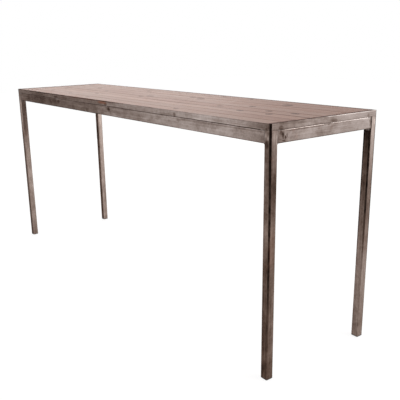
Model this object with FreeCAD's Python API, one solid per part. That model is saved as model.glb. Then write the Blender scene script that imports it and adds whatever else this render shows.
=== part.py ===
import FreeCAD, Part
import math
import os
from FreeCAD import Vector

# Communal table: a welded steel frame, a tray of tongue-and-groove boards, and screw-in levelling feet.
# Millimetres. The origin is on the floor under the middle of the table. X runs along the length,
# Y runs across it with the front at -Y, and Z is up.

# Overall size
TABLE_LENGTH = 2440.0
TABLE_WIDTH = 610.0
TABLE_HEIGHT = 1040.0

# Square tube of the legs and rectangular tube of the aprons
LEG_SIDE = 35.0
LEG_WALL = 2.0
APRON_HEIGHT = 50.0
APRON_DEPTH = 25.0
APRON_WALL = 2.0
TUBE_BEND_RADIUS = 2.0

# Angle iron of the tray round the boards
ANGLE_HEIGHT = 25.0
ANGLE_FLANGE = 25.0
ANGLE_THICKNESS = 3.0
ANGLE_EDGE_RADIUS = 0.8

# Boards of the top
BOARD_COUNT = 8
BOARD_RECESS = 1.0
BOARD_RIM_GAP = 1.5
BOARD_SEAM_GAP = 0.5
BOARD_BEVEL = 1.2
TONGUE_THICKNESS = 6.0
TONGUE_REACH = 6.0
TONGUE_CLEARANCE = 0.3

# Angle irons across the frame that the boards are screwed to
BEARER_COUNT = 5
BEARER_SIDE = 25.0
BEARER_THICKNESS = 3.0
BEARER_END_INSET = 120.0
SLOT_WIDTH = 5.0
SLOT_LENGTH = 9.0

# Wood screws and their washers
SCREW_DIAMETER = 4.0
SCREW_LENGTH = 16.0
SCREW_TIP = 3.0
SCREW_HEAD_DIAMETER = 8.0
SCREW_HEAD_HEIGHT = 2.6
SCREW_HEAD_EDGE = 0.8
RECESS_WIDTH = 1.1
RECESS_SPAN = 4.4
RECESS_DEPTH = 1.5
WASHER_DIAMETER = 12.0
WASHER_THICKNESS = 1.2
WASHER_CLEARANCE = 0.3
PILOT_CLEARANCE = 0.05
PILOT_EXTRA_DEPTH = 1.0

# Welds
STITCH_LENGTH = 40.0
STITCHES_PER_SIDE = 3
STITCHES_PER_END = 1
SEAM_END_LENGTH = 20.0
END_JOINT_SETBACK = 1.0
GROOVE_START_ANGLE = 15.0
FILLET_SIZE = 9.0
FILLET_CROWN = 0.58
BEARER_FILLET_SIZE = 4.0
BEARER_FILLET_MARGIN = 2.0

# Levelling feet
PLUG_FLOOR_GAP = 3.0
PLUG_FLANGE = 3.0
PLUG_DEPTH = 25.0
PLUG_RELIEF = 0.75
PLUG_FIT = 0.05
PLUG_WELL_WALL = 2.25
FIN_COUNT = 3
FIN_THICKNESS = 1.5
NUT_ACROSS_FLATS = 13.0
NUT_HEIGHT = 6.5
NUT_FIT = 0.05
STUD_DIAMETER = 8.0
STUD_LENGTH = 30.0
STUD_CHAMFER = 1.0
THREAD_CLEARANCE = 0.05
STUD_HOLE_CLEARANCE = 0.5
MOULD_FIT = 0.02
GLIDE_HEIGHT = 5.5
GLIDE_WEB = 0.7
GLIDE_CLEARANCE = 0.5
GLIDE_CHAMFER = 0.6
GRIP_COUNT = 12
GRIP_RADIUS = 1.5
SOLE_INSET = 1.5
SOLE_THICKNESS = 1.5
BUTTON_DIAMETER = 6.0
BUTTON_HEIGHT = 2.0
BUTTON_CLEARANCE = 0.05
BUTTON_HEADROOM = 0.3

# Levels and planes that several pieces share
HALF_LENGTH = TABLE_LENGTH / 2
HALF_WIDTH = TABLE_WIDTH / 2
SEAM_Z = TABLE_HEIGHT - ANGLE_HEIGHT
SEAT_Z = SEAM_Z + ANGLE_THICKNESS
BOARD_TOP_Z = TABLE_HEIGHT - BOARD_RECESS
APRON_BOTTOM_Z = SEAM_Z - APRON_HEIGHT
LEG_BOTTOM_Z = PLUG_FLOOR_GAP + PLUG_FLANGE
GLIDE_TOP_Z = SOLE_THICKNESS + GLIDE_HEIGHT
LEG_BORE = LEG_SIDE - 2 * LEG_WALL
LEG_CORNER = TUBE_BEND_RADIUS + LEG_WALL
APRON_CORNER = TUBE_BEND_RADIUS + APRON_WALL
LEG_FACE_X = HALF_LENGTH - LEG_SIDE
LEG_FACE_Y = HALF_WIDTH - LEG_SIDE
WELL_DIAMETER = LEG_BORE - 2 * (PLUG_RELIEF + PLUG_WELL_WALL)
GLIDE_DIAMETER = WELL_DIAMETER - 2 * GLIDE_CLEARANCE
SOLE_DIAMETER = GLIDE_DIAMETER - 2 * SOLE_INSET
BUTTON_HOLE = BUTTON_HEIGHT + BUTTON_HEADROOM
STUD_SOCKET = GLIDE_HEIGHT - BUTTON_HOLE - GLIDE_WEB
BOARD_LENGTH = TABLE_LENGTH - 2 * (ANGLE_THICKNESS + BOARD_RIM_GAP)
BOARD_FIELD = TABLE_WIDTH - 2 * (ANGLE_THICKNESS + BOARD_RIM_GAP)
BOARD_WIDTH = (BOARD_FIELD - (BOARD_COUNT - 1) * BOARD_SEAM_GAP) / BOARD_COUNT

X_AXIS = Vector(1, 0, 0)
Y_AXIS = Vector(0, 1, 0)
Z_AXIS = Vector(0, 0, 1)

# The four corners, as signs of X and Y
CORNERS = {
    "front_left": (-1, -1),
    "front_right": (1, -1),
    "back_left": (-1, 1),
    "back_right": (1, 1),
}


def put(shape, origin, x_dir, y_dir):
    """The shape moved so that its own X and Y run along the two directions from the origin."""
    z_dir = x_dir.cross(y_dir)
    shape.Placement = FreeCAD.Placement(origin, FreeCAD.Rotation(x_dir, y_dir, z_dir, "ZXY"))
    return shape


def rounded_outline(size_x, size_y, radius):
    """Face of a rectangle with round corners, centred on the origin."""
    edges = []
    ends = []
    signs = [(1, 1), (-1, 1), (-1, -1), (1, -1)]
    for quarter, (sign_x, sign_y) in enumerate(signs):
        centre = Vector(sign_x * (size_x / 2 - radius), sign_y * (size_y / 2 - radius), 0)
        start = quarter * math.pi / 2
        arc = Part.ArcOfCircle(Part.Circle(centre, Z_AXIS, radius), start, start + math.pi / 2)
        edges.append(arc.toShape())
        ends.append((arc.StartPoint, arc.EndPoint))
    for quarter in range(4):
        edges.append(Part.LineSegment(ends[quarter][1], ends[(quarter + 1) % 4][0]).toShape())
    return Part.Face(Part.Wire(Part.__sortEdges__(edges)))


def prism(points, length):
    """Prism on a polygon in its own XY plane, half its length to each side of that plane."""
    face = Part.Face(Part.makePolygon(points + points[:1]))
    face.translate(Z_AXIS * (-length / 2))
    return face.extrude(Z_AXIS * length)


def tube(size_x, size_y, wall, corner, length):
    """Hollow tube along Z with round corners, half its length to each side of the origin."""
    bore = rounded_outline(size_x - 2 * wall, size_y - 2 * wall, corner - wall)
    section = rounded_outline(size_x, size_y, corner).cut(bore)
    section.translate(Z_AXIS * (-length / 2))
    return section.extrude(Z_AXIS * length).Solids[0]


def cylinder(diameter, bottom, top):
    """Upright cylinder about the Z axis."""
    return Part.makeCylinder(diameter / 2, top - bottom, Z_AXIS * bottom)


def block(x_range, y_range, z_range):
    """Box between the given limits."""
    low = Vector(x_range[0], y_range[0], z_range[0])
    return Part.makeBox(x_range[1] - x_range[0], y_range[1] - y_range[0], z_range[1] - z_range[0], low)


def board_middle(index):
    """Y of the middle of a board, counted from the front."""
    return -BOARD_FIELD / 2 + BOARD_WIDTH / 2 + index * (BOARD_WIDTH + BOARD_SEAM_GAP)


def bearer_middle(index):
    """X of the middle of a bearer, counted from the left."""
    reach = HALF_LENGTH - BEARER_END_INSET
    return -reach + 2 * reach * index / (BEARER_COUNT - 1)


def slot_x(index):
    """X of the row of slots in a bearer, in the middle of its free flange."""
    return bearer_middle(index) + BEARER_THICKNESS / 2


def screw_places():
    """Every place on the underside of the top where a screw goes in."""
    return [(slot_x(i), board_middle(j)) for i in range(BEARER_COUNT) for j in range(BOARD_COUNT)]


def make_leg(sign_x, sign_y):
    """One leg, from its foot plug to the underside of the tray."""
    height = SEAM_Z - LEG_BOTTOM_Z
    middle = Vector(sign_x * (HALF_LENGTH - LEG_SIDE / 2), sign_y * (HALF_WIDTH - LEG_SIDE / 2),
                    LEG_BOTTOM_Z + height / 2)
    return put(tube(LEG_SIDE, LEG_SIDE, LEG_WALL, LEG_CORNER, height), middle, X_AXIS, Y_AXIS)


def make_apron(outward, reach, length):
    """An apron between two legs, its outer face the given reach from the middle of the table."""
    middle = outward * (reach - APRON_DEPTH / 2) + Z_AXIS * (SEAM_Z - APRON_HEIGHT / 2)
    body = tube(APRON_DEPTH, APRON_HEIGHT, APRON_WALL, APRON_CORNER, length)
    return put(body, middle, outward, Z_AXIS)


def make_tray():
    """The whole ring of angle iron before it is cut at its mitres."""
    ring = rounded_outline(TABLE_LENGTH, TABLE_WIDTH, LEG_CORNER).extrude(Z_AXIS * ANGLE_HEIGHT)
    ring.translate(Z_AXIS * SEAM_Z)
    top_edges = [edge for edge in ring.Edges if edge.BoundBox.ZMin > TABLE_HEIGHT - ANGLE_EDGE_RADIUS]
    ring = ring.makeFillet(ANGLE_EDGE_RADIUS, top_edges)
    inner_x = HALF_LENGTH - ANGLE_THICKNESS
    inner_y = HALF_WIDTH - ANGLE_THICKNESS
    hole_x = HALF_LENGTH - ANGLE_FLANGE
    hole_y = HALF_WIDTH - ANGLE_FLANGE
    well = block((-inner_x, inner_x), (-inner_y, inner_y), (SEAT_Z, TABLE_HEIGHT))
    hole = block((-hole_x, hole_x), (-hole_y, hole_y), (SEAM_Z, SEAT_Z))
    return ring.cut(well).cut(hole)


def make_top_angle(tray, outward, reach, half_run):
    """One side of the tray, cut at 45 degrees at both ends."""
    along = outward.cross(Z_AXIS)
    corner_left = outward * reach - along * half_run
    corner_right = outward * reach + along * half_run
    inset = outward * ANGLE_FLANGE
    shift = along * ANGLE_FLANGE
    points = [corner_left, corner_right, corner_right - inset - shift, corner_left - inset + shift]
    wedge = prism(points, ANGLE_HEIGHT)
    wedge.translate(Z_AXIS * (SEAM_Z + ANGLE_HEIGHT / 2))
    return tray.common(wedge).Solids[0]


def make_slot():
    """Cutter for one slot through a bearer's flange, long across the boards."""
    levels = (SEAT_Z - BEARER_THICKNESS, SEAT_Z)
    reach = (SLOT_LENGTH - SLOT_WIDTH) / 2
    slot = block((-SLOT_WIDTH / 2, SLOT_WIDTH / 2), (-reach, reach), levels)
    for end in (-reach, reach):
        slot = slot.fuse(cylinder(SLOT_WIDTH, *levels).translated(Y_AXIS * end))
    return slot


def make_bearer(index):
    """Angle iron across the frame: a slotted flange under the boards and a web between the aprons."""
    left = bearer_middle(index) - BEARER_SIDE / 2
    across = (left, left + BEARER_SIDE)
    web_bottom = SEAT_Z - BEARER_SIDE
    flange_y = HALF_WIDTH - ANGLE_FLANGE
    web_y = HALF_WIDTH - APRON_DEPTH
    over_seam = block(across, (-flange_y, flange_y), (SEAM_Z, SEAT_Z))
    under_seam = block(across, (-web_y, web_y), (web_bottom, SEAM_Z))
    inside = (left + BEARER_THICKNESS, left + BEARER_SIDE)
    hollow = block(inside, (-HALF_WIDTH, HALF_WIDTH), (web_bottom, SEAT_Z - BEARER_THICKNESS))
    bearer = over_seam.fuse(under_seam).cut(hollow).removeSplitter()
    for board in range(BOARD_COUNT):
        bearer = bearer.cut(make_slot().translated(Vector(slot_x(index), board_middle(board), 0)))
    return bearer.Solids[0]


def make_board(index):
    """One board, with a groove towards the front and a tongue towards the back."""
    half = BOARD_WIDTH / 2
    tongue_low = SEAT_Z + (BOARD_TOP_Z - SEAT_Z - TONGUE_THICKNESS) / 2
    tongue_high = tongue_low + TONGUE_THICKNESS
    tip = half + TONGUE_REACH
    groove_end = -half + TONGUE_REACH - BOARD_SEAM_GAP + TONGUE_CLEARANCE
    shoulder = BOARD_TOP_Z - BOARD_BEVEL
    points = [(-half, SEAT_Z), (half, SEAT_Z)]
    if index < BOARD_COUNT - 1:
        points += [(half, tongue_low), (tip, tongue_low), (tip, tongue_high), (half, tongue_high)]
    points += [(half, shoulder), (half - BOARD_BEVEL, BOARD_TOP_Z)]
    points += [(-half + BOARD_BEVEL, BOARD_TOP_Z), (-half, shoulder)]
    if index > 0:
        groove_low = tongue_low - TONGUE_CLEARANCE
        groove_high = tongue_high + TONGUE_CLEARANCE
        points += [(-half, groove_high), (groove_end, groove_high)]
        points += [(groove_end, groove_low), (-half, groove_low)]
    board = prism([Vector(y, z, 0) for y, z in points], BOARD_LENGTH)
    board = put(board, Y_AXIS * board_middle(index), Y_AXIS, Z_AXIS)
    depth = SCREW_LENGTH - WASHER_THICKNESS - BEARER_THICKNESS + PILOT_EXTRA_DEPTH
    for bearer in range(BEARER_COUNT):
        pilot = cylinder(SCREW_DIAMETER + 2 * PILOT_CLEARANCE, SEAT_Z, SEAT_Z + depth)
        pilot.translate(Vector(slot_x(bearer), board_middle(index), 0))
        board = board.cut(pilot)
    return board.Solids[0]


def make_screw():
    """A pan-head wood screw, point up, with the underside of its head at the origin."""
    head = SCREW_HEAD_DIAMETER / 2
    shank = SCREW_DIAMETER / 2
    outline = [(0, -SCREW_HEAD_HEIGHT), (head - SCREW_HEAD_EDGE, -SCREW_HEAD_HEIGHT)]
    outline += [(head, -SCREW_HEAD_HEIGHT + SCREW_HEAD_EDGE), (head, 0), (shank, 0)]
    outline += [(shank, SCREW_LENGTH - SCREW_TIP), (0, SCREW_LENGTH), (0, -SCREW_HEAD_HEIGHT)]
    face = Part.Face(Part.makePolygon([Vector(r, 0, z) for r, z in outline]))
    screw = face.revolve(Vector(0, 0, 0), Z_AXIS, 360)
    depth = (-SCREW_HEAD_HEIGHT, -SCREW_HEAD_HEIGHT + RECESS_DEPTH)
    across = (-RECESS_SPAN / 2, RECESS_SPAN / 2)
    wide = (-RECESS_WIDTH / 2, RECESS_WIDTH / 2)
    cross = block(across, wide, depth).fuse(block(wide, across, depth))
    return screw.cut(cross).Solids[0]


def make_board_screws():
    """All screws, each head against its washer under a bearer."""
    seat = SEAT_Z - BEARER_THICKNESS - WASHER_THICKNESS
    screw = make_screw()
    return Part.makeCompound([screw.translated(Vector(x, y, seat)) for x, y in screw_places()])


def make_board_washers():
    """A washer under each screw head, against the flange of its bearer."""
    top = SEAT_Z - BEARER_THICKNESS
    bore = SCREW_DIAMETER + 2 * WASHER_CLEARANCE
    bottom = top - WASHER_THICKNESS
    ring = cylinder(WASHER_DIAMETER, bottom, top).cut(cylinder(bore, bottom, top))
    return Part.makeCompound([ring.translated(Vector(x, y, 0)) for x, y in screw_places()])


def groove_fill(radius, length, setback):
    """Weld metal in the groove that a tube's round corner leaves against a flat plane.

    X runs inwards from the flush outer face, and the flat plane is at Y = 0 with the tube below it.
    """
    start = math.radians(GROOVE_START_ANGLE)
    middle = math.pi / 4
    end = math.pi / 2 - start

    def on_corner(angle):
        return Vector(radius * (1 - math.cos(angle)), radius * (math.sin(angle) - 1), 0)

    low = on_corner(start)
    high = on_corner(end)
    outer_top = Vector(0, 0, 0)
    outer_low = Vector(0, low.y, 0)
    inner_top = Vector(high.x, 0, 0)
    edges = [
        Part.LineSegment(outer_top, outer_low).toShape(),
        Part.LineSegment(outer_low, low).toShape(),
        Part.Arc(low, on_corner(middle), high).toShape(),
        Part.LineSegment(high, inner_top).toShape(),
        Part.LineSegment(inner_top, outer_top).toShape(),
    ]
    face = Part.Face(Part.Wire(edges))
    face.translate(Z_AXIS * (-length / 2))
    fill = face.extrude(Z_AXIS * length)
    if setback > 0:
        fill = fill.cut(block((0, setback), (-radius, 0), (-length / 2, length / 2)))
    return fill.Solids[0]


def fillet_bead(size, length):
    """A crowned fillet bead in the corner of the planes X = 0 and Y = 0."""
    on_x = Vector(size, 0, 0)
    on_y = Vector(0, size, 0)
    crown = Vector(size * FILLET_CROWN, size * FILLET_CROWN, 0)
    edges = [
        Part.LineSegment(Vector(0, 0, 0), on_x).toShape(),
        Part.Arc(on_x, crown, on_y).toShape(),
        Part.LineSegment(on_y, Vector(0, 0, 0)).toShape(),
    ]
    face = Part.Face(Part.Wire(edges))
    face.translate(Z_AXIS * (-length / 2))
    return face.extrude(Z_AXIS * length)


def seam_runs(half_run, stitches):
    """Middle and length of each weld along a seam: the stitches, then the two ends by the legs."""
    run = 2 * half_run
    spots = [(run * (i + 1) / (stitches + 1) - half_run, STITCH_LENGTH) for i in range(stitches)]
    end_middle = half_run - SEAM_END_LENGTH / 2
    return spots + [(-end_middle, SEAM_END_LENGTH), (end_middle, SEAM_END_LENGTH)]


def make_seam_welds():
    """Stitches in the seam between the tray and the aprons, ground flush outside."""
    welds = []
    for sign in (-1, 1):
        for spot, length in seam_runs(LEG_FACE_X, STITCHES_PER_SIDE):
            origin = Vector(spot, sign * HALF_WIDTH, SEAM_Z)
            welds.append(put(groove_fill(APRON_CORNER, length, 0), origin, Y_AXIS * -sign, Z_AXIS))
        for spot, length in seam_runs(LEG_FACE_Y, STITCHES_PER_END):
            origin = Vector(sign * HALF_LENGTH, spot, SEAM_Z)
            welds.append(put(groove_fill(APRON_CORNER, length, 0), origin, X_AXIS * -sign, Z_AXIS))
    return Part.makeCompound(welds)


def make_leg_joint_welds():
    """Upright welds between apron ends and legs: flush on the long sides, hollow on the ends."""
    welds = []
    middle_z = SEAM_Z - APRON_HEIGHT / 2
    for sign_x, sign_y in CORNERS.values():
        origin = Vector(sign_x * LEG_FACE_X, sign_y * HALF_WIDTH, middle_z)
        weld = groove_fill(LEG_CORNER, APRON_HEIGHT, 0)
        welds.append(put(weld, origin, Y_AXIS * -sign_y, X_AXIS * -sign_x))
        origin = Vector(sign_x * HALF_LENGTH, sign_y * LEG_FACE_Y, middle_z)
        weld = groove_fill(LEG_CORNER, APRON_HEIGHT, END_JOINT_SETBACK)
        welds.append(put(weld, origin, X_AXIS * -sign_x, Y_AXIS * -sign_y))
    return Part.makeCompound(welds)


def make_leg_fillet_welds():
    """Beads under the aprons, in the corner against each leg."""
    beads = []
    length = APRON_DEPTH - 2 * APRON_CORNER
    depth = APRON_DEPTH / 2
    for sign_x, sign_y in CORNERS.values():
        origin = Vector(sign_x * LEG_FACE_X, sign_y * (HALF_WIDTH - depth), APRON_BOTTOM_Z)
        beads.append(put(fillet_bead(FILLET_SIZE, length), origin, X_AXIS * -sign_x, -Z_AXIS))
        origin = Vector(sign_x * (HALF_LENGTH - depth), sign_y * LEG_FACE_Y, APRON_BOTTOM_Z)
        beads.append(put(fillet_bead(FILLET_SIZE, length), origin, Y_AXIS * -sign_y, -Z_AXIS))
    return Part.makeCompound(beads)


def make_bearer_welds():
    """Upright beads where the webs of the bearers meet the long aprons."""
    beads = []
    web_bottom = SEAT_Z - BEARER_SIDE
    flat_top = SEAM_Z - APRON_CORNER
    middle_z = (web_bottom + flat_top) / 2
    length = flat_top - web_bottom - 2 * BEARER_FILLET_MARGIN
    for index in range(BEARER_COUNT):
        for sign in (-1, 1):
            web_x = bearer_middle(index) - BEARER_SIDE / 2
            origin = Vector(web_x, sign * (HALF_WIDTH - APRON_DEPTH), middle_z)
            bead = fillet_bead(BEARER_FILLET_SIZE, length)
            beads.append(put(bead, origin, -X_AXIS, Y_AXIS * -sign))
    return Part.makeCompound(beads)


def hexagon(across_flats, bottom, top):
    """Upright hexagonal prism about the Z axis."""
    radius = across_flats / math.sqrt(3)
    angles = [k * math.pi / 3 for k in range(6)]
    corners = [Vector(math.cos(angle), math.sin(angle), 0) * radius for angle in angles]
    body = prism(corners, top - bottom)
    body.translate(Z_AXIS * ((top + bottom) / 2))
    return body


def foot_place(sign_x, sign_y):
    """The foot's axis: the middle of its leg, on the floor."""
    return Vector(sign_x * (HALF_LENGTH - LEG_SIDE / 2), sign_y * (HALF_WIDTH - LEG_SIDE / 2), 0)


def make_foot_plug():
    """Plug in the end of a leg: a flange, gripping fins, a well for the glide and a pocket for the nut."""
    top = LEG_BOTTOM_Z + PLUG_DEPTH
    flange = rounded_outline(LEG_SIDE, LEG_SIDE, LEG_CORNER).extrude(Z_AXIS * PLUG_FLANGE)
    flange.translate(Z_AXIS * PLUG_FLOOR_GAP)
    core_side = LEG_BORE - 2 * PLUG_RELIEF
    core = rounded_outline(core_side, core_side, TUBE_BEND_RADIUS).extrude(Z_AXIS * PLUG_DEPTH)
    core.translate(Z_AXIS * LEG_BOTTOM_Z)
    plug = flange.fuse(core)
    fin_side = LEG_BORE - 2 * PLUG_FIT
    for index in range(FIN_COUNT):
        fin = rounded_outline(fin_side, fin_side, TUBE_BEND_RADIUS).extrude(Z_AXIS * FIN_THICKNESS)
        fin.translate(Z_AXIS * (LEG_BOTTOM_Z + PLUG_DEPTH * (index + 1) / (FIN_COUNT + 1)))
        plug = plug.fuse(fin)
    well = cylinder(WELL_DIAMETER, PLUG_FLOOR_GAP, GLIDE_TOP_Z)
    pocket = hexagon(NUT_ACROSS_FLATS + 2 * NUT_FIT, GLIDE_TOP_Z, GLIDE_TOP_Z + NUT_HEIGHT)
    hole = cylinder(STUD_DIAMETER + 2 * STUD_HOLE_CLEARANCE, GLIDE_TOP_Z, top)
    return plug.cut(well).cut(pocket).cut(hole).removeSplitter().Solids[0]


def make_foot_nut():
    """Nut in the plug, its underside level with the roof of the glide's well."""
    top = GLIDE_TOP_Z + NUT_HEIGHT
    bore = cylinder(STUD_DIAMETER + 2 * THREAD_CLEARANCE, GLIDE_TOP_Z, top)
    return hexagon(NUT_ACROSS_FLATS, GLIDE_TOP_Z, top).cut(bore).Solids[0]


def make_foot_stud():
    """Threaded stud, plain at the thread's outer diameter, its lower end held in the glide."""
    bottom = GLIDE_TOP_Z - STUD_SOCKET
    stud = cylinder(STUD_DIAMETER, bottom, bottom + STUD_LENGTH)
    top_edge = [edge for edge in stud.Edges if edge.BoundBox.ZMin > bottom + STUD_LENGTH - STUD_CHAMFER]
    return stud.makeChamfer(STUD_CHAMFER, top_edge)


def make_foot_glide():
    """Round base moulded on the stud, with grip notches round its rim and a hole for the sole's button."""
    glide = cylinder(GLIDE_DIAMETER, SOLE_THICKNESS, GLIDE_TOP_Z)
    rims = [edge for edge in glide.Edges if edge.Closed]
    glide = glide.makeChamfer(GLIDE_CHAMFER, rims)
    socket = cylinder(STUD_DIAMETER + 2 * MOULD_FIT, GLIDE_TOP_Z - STUD_SOCKET, GLIDE_TOP_Z)
    button = cylinder(BUTTON_DIAMETER + 2 * BUTTON_CLEARANCE, SOLE_THICKNESS, SOLE_THICKNESS + BUTTON_HOLE)
    glide = glide.cut(socket).cut(button)
    for index in range(GRIP_COUNT):
        angle = 2 * math.pi * index / GRIP_COUNT
        notch = cylinder(2 * GRIP_RADIUS, SOLE_THICKNESS, GLIDE_TOP_Z)
        notch.translate(Vector(math.cos(angle), math.sin(angle), 0) * (GLIDE_DIAMETER / 2 + GRIP_RADIUS / 2))
        glide = glide.cut(notch)
    return glide.Solids[0]


def make_foot_sole():
    """Rubber disc that stays still on the floor, held by a button in the glide."""
    disc = cylinder(SOLE_DIAMETER, 0, SOLE_THICKNESS)
    button = cylinder(BUTTON_DIAMETER, SOLE_THICKNESS, SOLE_THICKNESS + BUTTON_HEIGHT)
    return disc.fuse(button).removeSplitter().Solids[0]


def make_frame():
    """Legs, aprons and tray."""
    parts = {}
    for name, signs in CORNERS.items():
        parts["leg_" + name] = make_leg(*signs)
    tray = make_tray()
    sides = {
        "front": (-Y_AXIS, HALF_WIDTH, HALF_LENGTH, LEG_FACE_X),
        "back": (Y_AXIS, HALF_WIDTH, HALF_LENGTH, LEG_FACE_X),
        "left": (-X_AXIS, HALF_LENGTH, HALF_WIDTH, LEG_FACE_Y),
        "right": (X_AXIS, HALF_LENGTH, HALF_WIDTH, LEG_FACE_Y),
    }
    for name, (outward, reach, half_run, leg_face) in sides.items():
        parts["apron_" + name] = make_apron(outward, reach, 2 * leg_face)
        parts["top_angle_" + name] = make_top_angle(tray, outward, reach, half_run)
    return parts


def make_top():
    """Bearers, boards and what holds them together."""
    parts = {}
    for index in range(BEARER_COUNT):
        parts[f"bearer_{index + 1}"] = make_bearer(index)
    for index in range(BOARD_COUNT):
        parts[f"board_{index + 1}"] = make_board(index)
    parts["board_screws"] = make_board_screws()
    parts["board_washers"] = make_board_washers()
    return parts


def make_welds():
    """The weld metal, one node for each kind of joint."""
    return {
        "seam_welds": make_seam_welds(),
        "leg_joint_welds": make_leg_joint_welds(),
        "leg_fillet_welds": make_leg_fillet_welds(),
        "bearer_welds": make_bearer_welds(),
    }


def make_feet():
    """The four levelling feet."""
    kinds = {
        "foot_plug": make_foot_plug(),
        "foot_stud": make_foot_stud(),
        "foot_glide": make_foot_glide(),
        "foot_sole": make_foot_sole(),
    }
    parts = {}
    for kind, shape in kinds.items():
        for name, signs in CORNERS.items():
            parts[f"{kind}_{name}"] = shape.translated(foot_place(*signs))
    nut = make_foot_nut()
    parts["foot_nuts"] = Part.makeCompound([nut.translated(foot_place(*signs)) for signs in CORNERS.values()])
    return parts


def main():
    os.makedirs("parts", exist_ok=True)
    nodes = {}
    nodes.update(make_frame())
    nodes.update(make_top())
    nodes.update(make_welds())
    nodes.update(make_feet())
    for name, shape in nodes.items():
        shape.exportStep(f"parts/{name}.step")
    print(len(nodes), "nodes")


main()
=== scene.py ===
import math

import bmesh
import bpy
import numpy as np
from mathutils import Matrix, Vector


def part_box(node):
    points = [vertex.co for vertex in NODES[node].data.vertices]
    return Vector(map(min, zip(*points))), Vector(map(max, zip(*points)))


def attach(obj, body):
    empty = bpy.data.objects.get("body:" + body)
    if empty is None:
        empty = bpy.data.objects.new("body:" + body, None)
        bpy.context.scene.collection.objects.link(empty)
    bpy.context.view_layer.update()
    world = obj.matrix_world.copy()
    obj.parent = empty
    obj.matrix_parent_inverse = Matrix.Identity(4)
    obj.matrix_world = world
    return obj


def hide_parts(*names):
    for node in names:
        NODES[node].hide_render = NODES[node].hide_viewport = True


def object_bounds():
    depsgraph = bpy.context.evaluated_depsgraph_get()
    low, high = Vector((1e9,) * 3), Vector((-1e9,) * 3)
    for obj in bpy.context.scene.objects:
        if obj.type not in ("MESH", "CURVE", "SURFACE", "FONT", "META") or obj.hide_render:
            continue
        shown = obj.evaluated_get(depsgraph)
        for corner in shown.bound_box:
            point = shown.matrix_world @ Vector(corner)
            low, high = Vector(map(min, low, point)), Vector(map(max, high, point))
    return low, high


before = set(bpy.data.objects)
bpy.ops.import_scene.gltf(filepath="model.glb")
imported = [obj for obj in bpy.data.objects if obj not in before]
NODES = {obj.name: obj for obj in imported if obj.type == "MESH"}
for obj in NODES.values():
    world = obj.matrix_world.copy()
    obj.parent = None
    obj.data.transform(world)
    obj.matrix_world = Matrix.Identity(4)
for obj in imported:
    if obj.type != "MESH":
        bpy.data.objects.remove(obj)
CAD_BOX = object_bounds()

# Places on the CAD model that the looks follow, in metres
HALF_LENGTH, HALF_WIDTH, TOP_Z = CAD_BOX[1]
APRON_LOW, APRON_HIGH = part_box("apron_front")
SEAM_Z = APRON_HIGH.z
APRON_BOTTOM_Z = APRON_LOW.z
LEG_FACE_X = APRON_HIGH.x
LEG_FACE_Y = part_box("apron_right")[1].y
LEG_SIDE = HALF_LENGTH - LEG_FACE_X
APRON_DEPTH = APRON_HIGH.y - APRON_LOW.y
TUBE_CORNER = 0.004
TONGUE_REACH = 0.006
TONGUE_THICKNESS = 0.006
TONGUE_CLEARANCE = 0.0003
BOARD_COUNT = 8
BEARER_COUNT = 5

# Detail that the looks add to the boards and the beads, in metres
EASED_EDGE = 0.0008
SEAM_MARGIN = 0.004
FIRST_STATION = 0.016
LAST_STATION = 0.012
STATION_STEP = 0.008
BEAD_STEP = 0.0004
BEAD_RIPPLE = 0.0016
BEAD_END = 0.0024
LEG_BEAD_SIZE = 0.009
BEARER_BEAD_SIZE = 0.004

SHARP_ANGLE = math.radians(50)
STEEL_METALLIC = 0.88

# Knots in the boards: place on the table top, radius, and how far they push the grain aside
KNOTS = [
    (-0.067, 0.020, 0.016, 0.7),
    (-0.098, -0.022, 0.012, 0.7),
    (0.178, 0.132, 0.013, 0.8),
    (0.274, 0.113, 0.018, 0.6),
    (0.283, 0.262, 0.014, 0.8),
    (0.481, 0.272, 0.013, 0.8),
    (0.823, 0.190, 0.019, 0.7),
    (0.613, -0.038, 0.013, 0.7),
    (0.819, -0.097, 0.013, 0.8),
    (0.743, 0.044, 0.013, 0.8),
    (0.921, -0.025, 0.013, 0.7),
    (0.997, -0.100, 0.012, 0.8),
    (1.065, -0.018, 0.014, 0.7),
    (-0.640, -0.196, 0.011, 0.7),
    (-0.820, 0.105, 0.014, 0.8),
    (-1.020, -0.040, 0.012, 0.8),
    (0.560, -0.252, 0.011, 0.8),
    (-0.350, 0.196, 0.013, 0.8),
    (-0.460, -0.105, 0.010, 0.8),
    (-0.300, -0.250, 0.011, 0.8),
    (-0.590, 0.032, 0.012, 0.7),
    (-1.090, 0.185, 0.012, 0.8),
    (-0.930, -0.180, 0.011, 0.7),
]
KNOT_STRETCH = 1.5


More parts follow.
